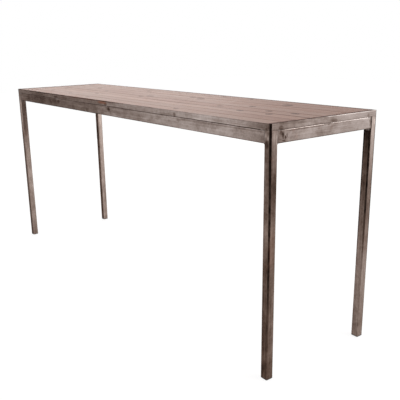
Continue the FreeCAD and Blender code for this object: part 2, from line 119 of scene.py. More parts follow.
class Graph:
    """A node tree, with short calls that take sockets or plain values and return output sockets."""

    def __init__(self, tree):
        self.tree = tree
        self.tree.nodes.clear()

    def node(self, kind, inputs=None, **settings):
        made = self.tree.nodes.new(kind)
        for key, value in settings.items():
            setattr(made, key, value)
        for key, value in (inputs or {}).items():
            if isinstance(value, bpy.types.NodeSocket):
                self.tree.links.new(value, made.inputs[key])
            elif value is not None:
                made.inputs[key].default_value = value
        return made

    def math(self, operation, a, b=None, clamp=False):
        return self.node("ShaderNodeMath", {0: a, 1: b}, operation=operation, use_clamp=clamp).outputs[0]

    def add(self, *terms):
        total = terms[0]
        for term in terms[1:]:
            total = self.math("ADD", total, term)
        return total

    def minus(self, a, b):
        return self.math("SUBTRACT", a, b)

    def times(self, a, b):
        return self.math("MULTIPLY", a, b)

    def size(self, value):
        return self.math("ABSOLUTE", value)

    def length(self, vector):
        return self.node("ShaderNodeVectorMath", {0: vector}, operation="LENGTH").outputs["Value"]

    def object_place(self):
        return self.node("ShaderNodeTexCoord").outputs["Object"]

    def split(self, vector):
        return self.node("ShaderNodeSeparateXYZ", {0: vector}).outputs

    def join(self, x, y, z):
        return self.node("ShaderNodeCombineXYZ", {0: x, 1: y, 2: z}).outputs[0]

    def stretch(self, vector, scale, offset=(0, 0, 0)):
        inputs = {"Vector": vector, "Location": offset, "Scale": scale}
        return self.node("ShaderNodeMapping", inputs).outputs[0]

    def round_point(self, vector, middle, reach):
        """How far the vector lies from the middle, as a share of the reach along each axis."""
        scale = tuple(1 / r for r in reach)
        offset = tuple(-m / r for m, r in zip(middle, reach))
        return self.length(self.stretch(vector, scale, offset))

    def noise(self, vector, scale=1.0, detail=2.0, roughness=0.5, distortion=0.0):
        inputs = {"Vector": vector, "Scale": scale, "Detail": detail, "Roughness": roughness,
                  "Distortion": distortion}
        return self.node("ShaderNodeTexNoise", inputs).outputs["Fac"]

    def scatter(self, place, scale, amount):
        """The place moved about at random, so that what is drawn round a point gets a ragged edge."""
        inputs = {"Vector": place, "Scale": scale, "Detail": 3.0}
        moves = self.node("ShaderNodeTexNoise", inputs).outputs["Color"]
        back = self.stretch(place, (1, 1, 1), (-amount / 2,) * 3)
        inputs = {0: moves, 1: (amount,) * 3, 2: back}
        return self.node("ShaderNodeVectorMath", inputs, operation="MULTIPLY_ADD").outputs[0]

    def remap(self, value, start, end, low=0.0, high=1.0, kind="SMOOTHSTEP"):
        """The value's way from start to end, as a way from low to high that stops there."""
        inputs = {"Value": value, "From Min": start, "From Max": end, "To Min": low, "To Max": high}
        return self.node("ShaderNodeMapRange", inputs, interpolation_type=kind).outputs[0]

    def centred(self, value, amount):
        """A noise value of about 0.3 to 0.7 as a change of plus or minus the amount."""
        return self.remap(value, 0.3, 0.7, -amount, amount, "LINEAR")

    def mix(self, factor, a, b, blend="MIX"):
        inputs = {0: factor, 6: a, 7: b}
        return self.node("ShaderNodeMix", inputs, data_type="RGBA", blend_type=blend).outputs[2]

    def blend(self, factor, a, b):
        return self.node("ShaderNodeMix", {0: factor, 2: a, 3: b}, data_type="FLOAT").outputs[0]

    def ramp(self, value, stops):
        """A colour or grey ramp through (place, colour or grey) stops."""
        made = self.node("ShaderNodeValToRGB", {0: value})
        elements = made.color_ramp.elements
        while len(elements) < len(stops):
            elements.new(1.0)
        for element, (place, colour) in zip(elements, stops):
            element.position = place
            element.color = (*colour, 1) if isinstance(colour, tuple) else (colour, colour, colour, 1)
        return made.outputs[0]

    def patches(self, place, listed):
        """The sum of soft (middle, reach, change) patches at the place."""
        total = 0.0
        for middle, reach, change in listed:
            radius = self.round_point(place, middle, reach)
            total = self.add(self.remap(radius, 1.0, 0.3, 0.0, change), total)
        return total

    def bump(self, height, distance, strength):
        inputs = {"Height": height, "Distance": distance, "Strength": strength}
        return self.node("ShaderNodeBump", inputs).outputs[0]


def surface(name, paint):
    """A new material whose Principled shader takes the inputs that paint(graph) returns."""
    material = bpy.data.materials.new(name)
    material.use_nodes = True
    graph = Graph(material.node_tree)
    shader = graph.node("ShaderNodeBsdfPrincipled", paint(graph))
    graph.node("ShaderNodeOutputMaterial", {"Surface": shader.outputs[0]})
    return material


def dress(node, material):
    """Gives a CAD node one material all over."""
    mesh = NODES[node].data
    mesh.materials.clear()
    mesh.materials.append(material)


# Raw steel from the darkest scale to bare brushed metal
STEEL_TONES = [
    (0.00, (0.008, 0.005, 0.004)),
    (0.25, (0.098, 0.066, 0.053)),
    (0.50, (0.248, 0.195, 0.173)),
    (0.75, (0.452, 0.382, 0.356)),
    (1.00, (0.690, 0.606, 0.570)),
]
AGED_TINT = (1.0, 0.86, 0.74, 1)
RUST = (0.260, 0.105, 0.062, 1)
PATCH_DEPTH = 0.02
AXES = {"X": 0, "Y": 1, "Z": 2}


def steel(name, along, tones, side_tones=None, slabs=(), spots=(), rust=(), brown=None, outer=True,
          black_corner_run=None):
    """Raw brushed steel of one straight member.

    tones are (share, tone) stops along the member's axis, from its low end to its high end, and side_tones
    those of a leg's faces across the length; both carry painted light and shade on the metal's own tone.
    slabs are (height, half depth, change, start, end) level bands of lighter or darker metal between two
    shares of the member, mostly painted shade in grooves and painted highlights on edges, spots are (middle,
    reach, change) patches of it, heat marks with painted light and shade, and rust is patches of rust. brown
    is how far a leg's metal turns to brown, low down and at its top. A black corner, painted dark reflection
    laid on as black scale, stays on the table's own corner, or on all corners of a leg that isn't outer. The
    last argument gives the shares of a leg between which it thickens, and how much of it is left below them.
    """
    low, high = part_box(name)
    axis = AXES[along]
    middle = (low + high) / 2
    seed = sum(ord(letter) for letter in name) % 89
    face_blend = 0.0015
    slab_fade = 0.03

    def paint(graph):
        place = graph.object_place()
        x, y, z = graph.split(place)
        shifted = graph.stretch(place, (1, 1, 1), (seed * 0.31, seed * 0.17, seed * 0.23))
        share = graph.remap((x, y, z)[axis], low[axis], high[axis], kind="LINEAR")

        def drawn_out(length, width, *settings):
            """Noise with its own scale along the member and across it."""
            scale = tuple(length if i == axis else width for i in range(3))
            return graph.noise(graph.stretch(shifted, scale), 1.0, *settings)

        # The tone of the faces with their painted light and shade, and how far each place is from the corner
        # painted black
        tone = graph.ramp(share, tones)
        dark_corner_amount = 1.0
        if side_tones:
            off_x = graph.size(graph.minus(x, middle.x))
            off_y = graph.size(graph.minus(y, middle.y))
            on_side = graph.remap(graph.minus(off_x, off_y), -face_blend, face_blend)
            tone = graph.blend(on_side, tone, graph.ramp(share, side_tones))
            dark_corner_amount = graph.remap(share, *black_corner_run, 1.0)
        if outer:
            from_end = graph.minus(HALF_LENGTH, graph.size(x))
            from_side = graph.minus(HALF_WIDTH, graph.size(y))
            from_corner = graph.add(graph.times(from_end, graph.remap(z, 0.70, 0.95, 1.0, 0.65)),
                                    graph.times(from_side, graph.remap(z, 0.70, 0.95, 1.0, 1.25)))
            kept = graph.remap(z, 0.70, 0.90)
        else:
            from_corner = graph.minus(LEG_SIDE, graph.add(off_x, off_y))
            kept = 0.0

        # Uneven metal: clouds, blotches, brushing, scratches and pits
        clouds = graph.noise(shifted, 4.2, 4.0, 0.6, 0.4)
        blotches = drawn_out(12.0, 24.0, 4.0, 0.6, 0.5)
        mottling = graph.noise(shifted, 85.0, 4.0, 0.7, 0.3)
        streaks = drawn_out(2.6, 190.0, 3.0, 0.6)
        brushing = drawn_out(26.0, 1500.0, 2.0, 0.6)
        scratches = drawn_out(5.0, 620.0, 1.0)
        flakes = drawn_out(60.0, 160.0, 4.0, 0.6)
        light_scratches = graph.remap(scratches, 0.69, 0.76, 0.0, 0.20)
        dark_scratches = graph.remap(scratches, 0.30, 0.24, 0.0, -0.16)
        worn = graph.remap(graph.noise(shifted, 24.0, 3.0), 0.30, 0.62, 0.75, 1.0)
        pits = graph.remap(graph.noise(shifted, 420.0, 2.0), 0.70, 0.78)
        tone = graph.add(tone, graph.centred(clouds, 0.08), graph.centred(blotches, 0.10),
                         graph.centred(streaks, 0.06), graph.centred(mottling, 0.05),
                         graph.centred(brushing, 0.05), light_scratches, dark_scratches)

        # Bands and patches of this member: painted shade in grooves, painted highlights on edges, heat
        # marks, painted light and shade
        for level, half, change, start, end in slabs:
            away = graph.size(graph.minus(z, level))
            band = graph.remap(away, half * 1.3, half * 0.7, 0.0, change)
            run = graph.times(graph.remap(share, start - slab_fade, start + slab_fade),
                              graph.remap(share, end + slab_fade, end - slab_fade))
            tone = graph.add(tone, graph.times(band, graph.times(run, worn)))
        ragged = graph.scatter(place, 60.0, 0.014)
        if spots:
            tone = graph.add(tone, graph.patches(ragged, spots))
        tone = graph.minus(tone, graph.times(pits, 0.14))

        # Black corners: painted dark reflection of the surroundings, laid on as black scale
        from_corner = graph.add(from_corner, graph.centred(streaks, -0.0004),
                                graph.centred(blotches, -0.0007), graph.centred(flakes, -0.0009))
        scale = graph.remap(from_corner, TUBE_CORNER + 0.0030, TUBE_CORNER + 0.0008)
        scale = graph.times(graph.times(scale, dark_corner_amount), graph.math("MAXIMUM", worn, kept))
        tone = graph.blend(scale, tone, graph.centred(flakes, 0.07))

        # Colour, with brown age and rust
        colour = graph.ramp(tone, STEEL_TONES)
        if brown:
            aged = graph.mix(1.0, colour, AGED_TINT, "MULTIPLY")
            colour = graph.mix(graph.remap(share, 0.60, 0.95, *brown), colour, aged)
        bloom = graph.remap(graph.noise(shifted, 13.0, 5.0, 0.65), 0.58, 0.78, 0.0, 0.20)
        if rust:
            bloom = graph.math("ADD", bloom, graph.patches(ragged, rust), clamp=True)
        colour = graph.mix(bloom, colour, RUST)
        rough = graph.add(graph.remap(tone, 0.1, 0.8, 0.56, 0.36), graph.centred(brushing, 0.05),
                          graph.centred(mottling, -0.05))
        height = graph.add(graph.times(brushing, 0.5), graph.times(mottling, 0.5),
                           graph.times(pits, -0.6))
        return {"Base Color": colour, "Metallic": STEEL_METALLIC, "Roughness": rough,
                "Specular Tint": (0.10, 0.09, 0.08, 1), "Normal": graph.bump(height, 0.00025, 0.6)}

    dress(name, surface(f"steel_{name}", paint))


def on_front(x, z, reach_x, reach_z, change):
    """A patch on the table's front plane."""
    return (x, -HALF_WIDTH, z), (reach_x, PATCH_DEPTH, reach_z), change


def on_end(y, z, reach_y, reach_z, change):
    """A patch on the plane of the table's right end."""
    return (HALF_LENGTH, y, z), (PATCH_DEPTH, reach_y, reach_z), change


# Tones with painted light and shade along each leg from foot to top: the faces along the length, then the
# faces across it
LEG_TONES = {
    "front_left": ([(0.0, 0.35), (0.7, 0.36), (0.78, 0.64), (0.93, 0.80), (1.0, 0.52)],
                   [(0.0, 0.50), (0.5, 0.64), (0.7, 0.45), (0.85, 0.34), (1.0, 0.32)]),
    "front_right": ([(0.0, 0.20), (0.3, 0.32), (0.4, 0.27), (0.68, 0.35), (0.80, 0.30), (0.93, 0.35),
                     (1.0, 0.42)],
                    [(0.0, 0.32), (0.2, 0.43), (0.5, 0.41), (0.7, 0.33), (0.79, 0.24), (0.93, 0.41),
                     (1.0, 0.51)]),
    "back_left": ([(0.0, 0.26), (0.5, 0.25), (0.9, 0.22)],
                  [(0.0, 0.57), (0.5, 0.57), (0.78, 0.74), (1.0, 0.72)]),
    "back_right": ([(0.0, 0.32), (0.05, 0.42), (0.4, 0.44), (0.6, 0.33), (0.8, 0.25), (0.94, 0.10)],
                   [(0.0, 0.49), (0.3, 0.58), (0.5, 0.53), (0.62, 0.44), (0.70, 0.47), (0.82, 0.64),
                    (0.93, 0.85), (1.0, 0.74)]),
}

# How brown each leg is low down and at its top, and where its painted black corner, laid on as scale,
# thickens
LEG_BROWN = {
    "front_left": (0.35, 0.30),
    "front_right": (0.48, 0.15),
    "back_left": (0.40, 0.40),
    "back_right": (0.30, 0.25),
}
LEG_BLACK_CORNER = {
    "front_left": (0.05, 0.60, 0.25),
    "front_right": (0.0, 0.55, 0.10),
    "back_left": (0.05, 0.60, 0.25),
    "back_right": (0.15, 0.75, 0.0),
}

# Tones with painted light and shade along each frame side, from left to right or front to back: the tray,
# then the apron
SIDE_TONES = {
    "front": ([(0.0, 0.56), (0.1, 0.40), (0.28, 0.39), (0.5, 0.45), (0.84, 0.65), (0.94, 0.52),
               (1.0, 0.28)],
              [(0.0, 0.42), (0.1, 0.36), (0.24, 0.37), (0.45, 0.45), (0.83, 0.63), (0.96, 0.55),
               (1.0, 0.40)]),
    "back": ([(0.0, 0.42), (0.3, 0.56), (0.6, 0.46), (0.8, 0.58), (1.0, 0.44)],
             [(0.0, 0.38), (0.25, 0.52), (0.5, 0.58), (0.75, 0.46), (1.0, 0.40)]),
    "left": ([(0.0, 0.40), (0.4, 0.55), (0.7, 0.48), (1.0, 0.42)],
             [(0.0, 0.38), (0.3, 0.50), (0.7, 0.56), (1.0, 0.42)]),
    "right": ([(0.0, 0.50), (0.1, 0.43), (0.3, 0.61), (0.55, 0.55), (0.75, 0.72), (1.0, 0.67)],
              [(0.0, 0.41), (0.14, 0.54), (0.3, 0.58), (0.5, 0.55), (0.8, 0.69), (1.0, 0.72)]),
}

# Darker and lighter patches by node, middle, reach, change of tone: heat marks and grinding at the welds,
# and painted highlights and painted shade at the legs' joints and corners
HEAT_AND_LIGHT_MARKS = {
    "top_angle_front": [on_front(-0.610, 1.022, 0.034, 0.012, -0.16),
                        on_front(0.004, 1.022, 0.022, 0.011, -0.24),
                        on_front(0.622, 1.023, 0.016, 0.013, -0.26),
                        on_front(0.560, 1.020, 0.080, 0.008, -0.14),
                        on_front(1.170, 1.014, 0.011, 0.009, 0.14),
                        on_front(1.194, 1.015, 0.012, 0.012, -0.10)],
    "apron_front": [on_front(-0.575, 1.000, 0.030, 0.012, -0.17),
                    on_front(0.034, 1.000, 0.022, 0.011, -0.26),
                    on_front(0.650, 1.000, 0.030, 0.008, -0.16),
                    on_front(0.300, 0.988, 0.110, 0.040, -0.09),
                    on_front(0.080, 0.975, 0.140, 0.018, 0.06),
                    on_front(1.150, 1.004, 0.016, 0.010, 0.06),
                    on_front(1.180, 1.005, 0.012, 0.010, 0.16)],
    # painted dark reflection down the leg's outer corner
    "leg_front_left": [((-HALF_LENGTH, -HALF_WIDTH, 0.80), (0.016, 0.016, 0.30), -0.45)],
    # painted highlights on the weld ridge at the joint, painted shade under the apron
    "leg_front_right": [on_front(1.193, 0.996, 0.009, 0.012, 0.16),
                        on_front(1.203, 0.984, 0.008, 0.012, 0.14),
                        on_front(1.207, 1.004, 0.010, 0.010, -0.12),
                        on_front(1.200, 0.964, 0.014, 0.022, -0.22),
                        on_end(-0.288, 0.985, 0.012, 0.030, 0.08),
                        on_end(-0.272, 0.978, 0.009, 0.040, 0.32)],
    # painted dark reflection on the leg's inner corner
    "leg_back_left": [((-LEG_FACE_X, LEG_FACE_Y, 0.80), (0.014, 0.014, 0.40), -0.16)],
    # painted highlight at the far corner
    "leg_back_right": [on_end(0.296, 0.992, 0.012, 0.020, 0.16)],
    "apron_right": [on_end(-0.244, 0.995, 0.009, 0.018, -0.26),
                    on_end(-0.232, 0.984, 0.006, 0.010, -0.32),
                    on_end(-0.234, 0.994, 0.004, 0.009, 0.16),
                    on_end(-0.222, 0.990, 0.004, 0.012, -0.22),
                    on_end(-0.045, 0.984, 0.040, 0.030, -0.11),
                    on_end(0.085, 1.000, 0.060, 0.015, 0.11),
                    on_end(-0.240, 0.973, 0.012, 0.005, -0.24),
                    on_end(-0.254, 1.002, 0.012, 0.012, -0.22),
                    on_end(0.010, 1.012, 0.024, 0.005, -0.16),
                    # painted shade in the gap at the back leg
                    on_end(0.266, 0.992, 0.006, 0.030, -0.35)],
    "top_angle_right": [on_end(-0.255, 1.022, 0.016, 0.012, -0.20),
                        on_end(-0.140, 1.032, 0.030, 0.008, -0.08),
                        on_end(0.035, 1.022, 0.028, 0.010, -0.16),
                        on_end(0.250, 1.022, 0.012, 0.010, -0.14)],
}
RUST_MARKS = {
    "top_angle_front": [on_front(-0.035, 1.030, 0.065, 0.009, 0.65),
                        on_front(-0.300, 1.038, 0.300, 0.006, 0.20)],
    "leg_front_right": [on_end(-0.290, 0.560, 0.020, 0.120, 0.15)],
}


def dress_frame():
    """Raw steel for the legs, the aprons, the tray and the bearers."""
    # Painted shade in the groove under the tray's lip, along the seam and along the aprons' lower edge
    lip = (SEAM_Z, 0.0010, -0.30, 0.0, 1.0)
    underside = (APRON_BOTTOM_Z, 0.0036, -0.22, 0.0, 1.0)
    seam = (SEAM_Z - 0.0008, 0.0016, -0.50, 0.0, 1.0)
    # The tray's rims: painted shade on the front's left half, a painted highlight on the right end's far
    # half, back and left rims a little lighter
    rims = {
        "front": [(TOP_Z, 0.0056, -0.18, 0.0, 0.55), (TOP_Z, 0.0024, -0.06, 0.55, 1.0)],
        "back": [(TOP_Z, 0.0024, 0.08, 0.0, 1.0)],
        "left": [(TOP_Z, 0.0024, 0.10, 0.0, 1.0)],
        "right": [(TOP_Z, 0.0030, -0.10, 0.05, 0.42), (TOP_Z, 0.0030, 0.34, 0.50, 1.0)],
    }
    # The seams: painted shade in the groove, painted highlights on the right apron's upper edge, darker
    # bands just below the seam towards the near corner
    seams = {
        "front": [(SEAM_Z - 0.0008, 0.0016, -0.20, 0.50, 0.70), (SEAM_Z - 0.0008, 0.0016, -0.50, 0.70, 1.0),
                  (SEAM_Z - 0.0082, 0.0030, -0.16, 0.74, 1.0)],
        "back": [seam],
        "left": [seam],
        "right": [(SEAM_Z, 0.0008, -0.45, 0.0, 1.0),
                  (SEAM_Z - 0.0022, 0.0015, 0.07, 0.08, 0.47),
                  (SEAM_Z - 0.0068, 0.0026, -0.22, 0.10, 0.46),
                  (SEAM_Z - 0.0022, 0.0015, 0.24, 0.53, 0.97)],
    }
    for corner, (tones, side_tones) in LEG_TONES.items():
        name = f"leg_{corner}"
        steel(name, "Z", tones, side_tones, spots=HEAT_AND_LIGHT_MARKS.get(name, ()), rust=RUST_MARKS.get(name, ()),
              brown=LEG_BROWN[corner], outer=corner != "back_right", black_corner_run=LEG_BLACK_CORNER[corner])
    for side, (tray_tones, apron_tones) in SIDE_TONES.items():
        along = "X" if side in ("front", "back") else "Y"
        name = f"top_angle_{side}"
        steel(name, along, tray_tones, slabs=[lip, *rims[side]], spots=HEAT_AND_LIGHT_MARKS.get(name, ()),
              rust=RUST_MARKS.get(name, ()))
        name = f"apron_{side}"
        steel(name, along, apron_tones, slabs=[underside, *seams[side]], spots=HEAT_AND_LIGHT_MARKS.get(name, ()))
    for index in range(1, BEARER_COUNT + 1):
        steel(f"bearer_{index}", "Y", [(0.0, 0.36), (0.5, 0.46), (1.0, 0.36)])


def smooth_noise(rng, places, step):
    """Smooth random values from -1 to 1 along the given places, with a new value every step."""
    share = (places - places.min()) / step
    index = share.astype(int)
    values = rng.uniform(-1, 1, index.max() + 2)
    share = share - index
    share = share * share * (3 - 2 * share)
    return values[index] * (1 - share) + values[index + 1] * share


def board_top(rng, x, y, z_top):
    """Heights of a board's worn top over its grid of stations and points across."""
    from_front, from_back = y - y[0], y[-1] - y
    from_end = np.minimum(x - x[0], x[-1] - x)
    width = (y[-1] - y[0]) / 2
    cup = rng.uniform(-0.0002, 0.0003)
    height = np.full((len(x), len(y)), z_top - 0.0002 + rng.uniform(-0.0004, 0.0002))
    height += cup * (1 - ((y - y.mean()) / width) ** 2)[None, :]
    height += 0.00018 * smooth_noise(rng, x, 0.23)[:, None]
    height += 0.00010 * smooth_noise(rng, x, 0.05)[:, None] * smooth_noise(rng, y, 0.02)[None, :]
    for distance in (from_front, from_back):
        reach = 0.0030 + 0.0012 * smooth_noise(rng, x, 0.11) + 0.0006 * smooth_noise(rng, x, 0.018)
        drop = 0.0013 + 0.0004 * smooth_noise(rng, x, 0.07) + 0.0002 * smooth_noise(rng, x, 0.012)
        share = np.clip(1 - distance[None, :] / reach[:, None], 0, 1)
        height -= drop[:, None] * share ** 2
    end_drop = 0.0012 + 0.0005 * smooth_noise(rng, y, 0.015)
    height -= end_drop[None, :] * (np.clip(1 - from_end / 0.004, 0, 1) ** 2)[:, None]
    for knot_x, knot_y, radius, _ in KNOTS:
        reach = np.hypot(x[:, None] - knot_x, y[None, :] - knot_y) / radius
        height += 0.00030 * np.exp(-reach ** 2) - 0.00022 * np.exp(-((reach - 1.3) / 0.4) ** 2)
    return height


def make_board(index):
    """A worn board with the tongue and groove of its CAD solid, lofted along its length."""
    rng = np.random.default_rng(40 + index)
    node = f"board_{index}"
    low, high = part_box(node)
    back = high.y - (TONGUE_REACH if index < BOARD_COUNT else 0.0)
    ends = np.array([0.0, 0.0005, 0.0012, 0.0022, 0.0036, 0.0058, 0.009])
    inner_x = np.arange(low.x + FIRST_STATION, high.x - LAST_STATION, STATION_STEP)
    x = np.concatenate([low.x + ends, inner_x, (high.x - ends)[::-1]])
    edges = np.array([0.0, 0.0005, 0.0012, 0.0021, 0.0032, 0.0046, 0.007, 0.011, 0.017, 0.024, 0.031])
    y = np.concatenate([low.y + edges, [(low.y + back) / 2], (back - edges)[::-1]])
    top = board_top(rng, x, y, high.z)
    tongue_low = low.z + (high.z - low.z - TONGUE_THICKNESS) / 2
    tongue_high = tongue_low + TONGUE_THICKNESS
    start = [(low.y, low.z + EASED_EDGE), (low.y + EASED_EDGE, low.z), (low.y + SEAM_MARGIN, low.z),
             (back - SEAM_MARGIN, low.z), (back - EASED_EDGE, low.z), (back, low.z + EASED_EDGE)]
    if index < BOARD_COUNT:
        start += [(back, tongue_low), (high.y, tongue_low), (high.y, tongue_high), (back, tongue_high)]
    finish = []
    if index > 1:
        inner = low.y + TONGUE_REACH - TONGUE_CLEARANCE
        finish += [(low.y, tongue_high + TONGUE_CLEARANCE), (inner, tongue_high + TONGUE_CLEARANCE)]
        finish += [(inner, tongue_low - TONGUE_CLEARANCE), (low.y, tongue_low - TONGUE_CLEARANCE)]
    count = len(start) + len(y) + len(finish)
    points = np.zeros((len(x), count, 3))
    edge_distance = np.zeros((len(x), count), np.float32)
    points[:, :, 0] = x[:, None]
    for offset, listed in ((0, start), (len(start) + len(y), finish)):
        for i, (side, level) in enumerate(listed):
            points[:, offset + i, 1:] = (side, level)
            edge_distance[:, offset + i] = max(0.0, min(side - low.y, back - side) - EASED_EDGE)
    lofted = slice(len(start), len(start) + len(y))
    points[:, lofted, 1] = y[::-1][None, :]
    points[:, lofted, 2] = top[:, ::-1]
    edge_distance[:, lofted] = np.minimum(y - y[0], y[-1] - y)[::-1][None, :]
    station = np.arange(len(x) - 1)[:, None] * count
    ring = np.arange(count)[None, :]
    following = (ring + 1) % count
    near = (station + ring, station + following)
    far = (station + count + following, station + count + ring)
    quads = np.stack([*near, *far], 2)
    faces = [tuple(int(i) for i in quad) for quad in quads.reshape(-1, 4)]
    faces.append(tuple(range(count - 1, -1, -1)))
    faces.append(tuple(range((len(x) - 1) * count, len(x) * count)))
    mesh = bpy.data.meshes.new(f"worn_board_{index}")
    mesh.from_pydata(points.reshape(-1, 3).tolist(), [], faces)
    mesh.attributes.new("from_edge", "FLOAT", "POINT").data.foreach_set("value", edge_distance.ravel())
    seed = np.full(points.shape[0] * count, rng.uniform(0, 1), np.float32)
    mesh.attributes.new("board_seed", "FLOAT", "POINT").data.foreach_set("value", seed)
    mesh.shade_smooth()
    mesh.set_sharp_from_angle(angle=SHARP_ANGLE)
    board = bpy.data.objects.new(f"worn_board_{index}", mesh)
    bpy.context.scene.collection.objects.link(board)
    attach(board, "frame")
    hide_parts(node)
    return board


def paint_wood(graph):
    """Weathered boards: growth bands bent round knots, fine fibres, pores, checks, grime and painted shade
    in the seams.
    """
    place = graph.object_place()
    x, y, z = graph.split(place)
    seed = graph.node("ShaderNodeAttribute", attribute_name="board_seed").outputs["Fac"]
    from_edge = graph.node("ShaderNodeAttribute", attribute_name="from_edge").outputs["Fac"]
    board_x = graph.add(x, graph.times(seed, 17.0))
    board_z = graph.add(z, graph.times(seed, 31.0))

    def grain(along, across, depth, detail, roughness=0.55):
        vector = graph.join(graph.times(board_x, along), graph.times(bent, across),
                            graph.times(board_z, depth))
        return graph.noise(vector, 1.0, detail, roughness)

    bent = y
    wander = graph.centred(grain(1.1, 4.0, 1.0, 2.0), 0.010)
    bent = graph.add(y, wander)
    flat = graph.join(x, y, 0.0)
    nearest = None
    for knot_x, knot_y, radius, push in KNOTS:
        distance = graph.round_point(flat, (knot_x, knot_y, 0), (KNOT_STRETCH * radius, radius, 1))
        bent = graph.add(bent, graph.remap(distance, 2.6, 0.0, 0.0, push * radius * 1.6))
        nearest = distance if nearest is None else graph.math("MINIMUM", nearest, distance)
    ragged = graph.add(nearest, graph.centred(graph.noise(place, 75.0, 2.0), 0.17))
    core = graph.remap(ragged, 1.12, 0.88)
    rings = graph.times(graph.math("SINE", graph.times(ragged, 24.0)), 0.10)
    bands = grain(0.55, 95.0, 1.0, 2.5)
    lines = grain(1.4, 330.0, 1.0, 3.0, 0.6)
    fibres = grain(11.0, 1100.0, 700.0, 2.0)
    pores = graph.remap(grain(24.0, 1500.0, 300.0, 1.0), 0.66, 0.76)
    blotches = grain(1.5, 9.0, 1.0, 3.0)
    checks = graph.remap(grain(1.3, 420.0, 1.0, 1.0), 0.74, 0.80)
    dashes = graph.remap(grain(8.0, 140.0, 1.0, 3.0), 0.62, 0.76)

    band = graph.add(graph.remap(bands, 0.28, 0.72, kind="LINEAR"), graph.centred(lines, 0.20),
                     graph.centred(fibres, 0.14))
    colour = graph.ramp(band, [
        (0.05, (0.235, 0.134, 0.104)),
        (0.40, (0.362, 0.226, 0.184)),
        (0.70, (0.425, 0.280, 0.233)),
        (1.00, (0.474, 0.325, 0.274)),
    ])
    tint = graph.ramp(graph.math("FRACT", graph.times(seed, 7.3)), [
        (0.0, (0.93, 0.86, 0.84)),
        (0.5, (1.00, 0.97, 0.96)),
        (1.0, (1.07, 1.04, 1.02)),
    ])
    colour = graph.mix(1.0, colour, tint, "MULTIPLY")
    colour = graph.mix(graph.remap(blotches, 0.40, 0.70, 0.0, 0.35), colour, (0.42, 0.325, 0.290, 1))
    knot = graph.ramp(graph.add(ragged, rings), [
        (0.10, (0.050, 0.026, 0.019)),
        (0.30, (0.125, 0.066, 0.046)),
        (0.70, (0.150, 0.082, 0.060)),
        (0.95, (0.048, 0.026, 0.020)),
    ])
    colour = graph.mix(graph.times(core, 0.92), colour, knot)
    colour = graph.mix(graph.times(pores, 0.45), colour, (0.130, 0.078, 0.060, 1))
    colour = graph.mix(graph.times(checks, 0.6), colour, (0.075, 0.042, 0.032, 1))
    colour = graph.mix(graph.times(dashes, 0.5), colour, (0.150, 0.086, 0.066, 1))
    # Painted shade: the boards darken and redden towards the right end
    painted_shade_to_right = graph.remap(x, 0.10, 1.25)
    colour = graph.mix(painted_shade_to_right, colour, graph.mix(1.0, colour, (0.80, 0.75, 0.72, 1), "MULTIPLY"))
    # The boards turn dark red-brown towards each end of the table, fully within 19 mm of it, and rougher
    # there
    from_end = graph.minus(HALF_LENGTH, graph.size(x))
    dark_board_ends = graph.remap(from_end, 0.031, 0.019, 0.0, 0.92)
    colour = graph.mix(dark_board_ends, colour, (0.055, 0.024, 0.018, 1))
    # Darker along the boards' long edges: grime in the seams, and painted shade of the gaps between boards
    # and at the rim
    patchy = graph.remap(grain(2.2, 6.0, 1.0, 3.0), 0.36, 0.60, 0.35, 0.85)
    seam_grime_and_shade = graph.times(graph.remap(from_edge, 0.0034, 0.0006), patchy)
    colour = graph.mix(seam_grime_and_shade, colour, (0.070, 0.040, 0.031, 1))
    rough = graph.add(0.56, graph.centred(fibres, 0.07), graph.times(seam_grime_and_shade, 0.15), graph.times(dark_board_ends, 0.35))
    height = graph.add(graph.times(lines, 0.6), graph.times(fibres, 0.35), graph.times(pores, -0.5),
                       graph.times(checks, -1.5), graph.times(core, 0.4))
    return {"Base Color": colour, "Roughness": rough, "Specular IOR Level": 0.25,
            "Normal": graph.bump(height, 0.0005, 0.7)}


def make_top():
    """The eight boards in one weathered wood."""
    wood = surface("weathered_wood", paint_wood)
    for index in range(1, BOARD_COUNT + 1):
        make_board(index).data.materials.append(wood)


def add_bead(points, faces, origin, sides, along, size, length, rng):
    """Adds a rippled fillet bead in the corner at the origin, between two sides and along a line."""
    stations = np.linspace(-length / 2, length / 2, int(length / BEAD_STEP) + 1)
    angles = np.linspace(0, math.pi / 2, 11)
    swell = smooth_noise(rng, stations, 0.004)
    first, second = (Vector(side) for side in sides)
    count = len(angles) + 1
    start = len(points)
    for t, wide in zip(stations, swell):
        centre = Vector(origin) + Vector(along) * t
        rounded = math.sqrt(min(1.0, (length / 2 - abs(t)) / BEAD_END))
        points.append(centre)
        for angle in angles:
            crown = math.sin(2 * angle)
            ripple = 0.5 + 0.5 * math.cos(2 * math.pi * t / BEAD_RIPPLE + 1.8 * crown)
            radius = size * (1 - 0.19 * crown) * (0.96 + 0.04 * wide) * (1 - 0.10 * ripple * crown)
            radius *= 0.35 + 0.65 * rounded
            points.append(centre + (first * math.cos(angle) + second * math.sin(angle)) * radius)
    for i in range(len(stations) - 1):
        for j in range(count):
            k = (j + 1) % count
            low, high = start + i * count, start + (i + 1) * count
            faces.append((low + j, low + k, high + k, high + j))
    faces.append(tuple(range(start + count - 1, start - 1, -1)))
    last = start + (len(stations) - 1) * count
    faces.append(tuple(range(last, last + count)))


